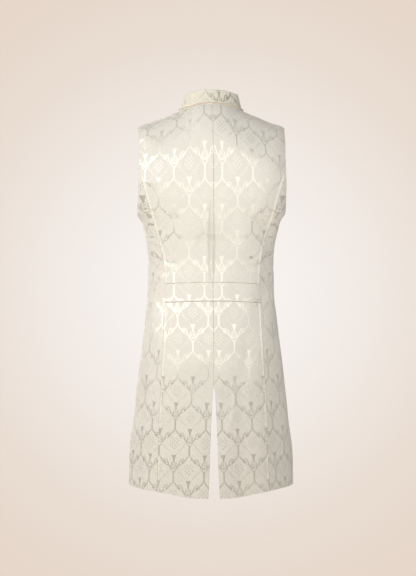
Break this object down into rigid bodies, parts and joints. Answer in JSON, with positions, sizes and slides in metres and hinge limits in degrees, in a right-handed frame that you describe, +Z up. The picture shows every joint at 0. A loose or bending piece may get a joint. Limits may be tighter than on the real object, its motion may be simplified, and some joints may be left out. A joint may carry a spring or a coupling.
{
  "type": "long waistcoat",
  "caption": "Sleeveless long waistcoat in ivory damask with a stand collar, piped neck seam, back waist band, flared skirts and back vent, filled out as worn.",
  "frame": {"origin": "in the middle of the neck opening, level with the side neck points where the shoulders carry the garment", "axes": "+Z up, +Y out of the centre back, +X towards the wearer's left"},
  "size_m": [0.4102, 0.2827, 0.9922],
  "materials": {
    "ivory_damask": "ivory damask, a satin figure on a matt ground of nearly the same colour",
    "gold_cord": "pale gold twisted cord with a soft shine",
    "covered_button": "low domed button covered in the ivory cloth"
  },
  "bodies": {
    "root": {"back_left": "ivory_damask", "back_right": "ivory_damask", "waistband_left": "ivory_damask", "waistband_right": "ivory_damask", "skirt_back_left": "ivory_damask", "skirt_back_right": "ivory_damask", "side_left": "ivory_damask", "side_right": "ivory_damask", "front_left": "ivory_damask", "front_right": "ivory_damask", "collar": "ivory_damask", "collar_piping": "gold_cord", "button_1": "covered_button", "button_2": "covered_button", "button_3": "covered_button", "button_4": "covered_button", "button_5": "covered_button", "button_6": "covered_button", "button_7": "covered_button"}
  },
  "joints": []
}
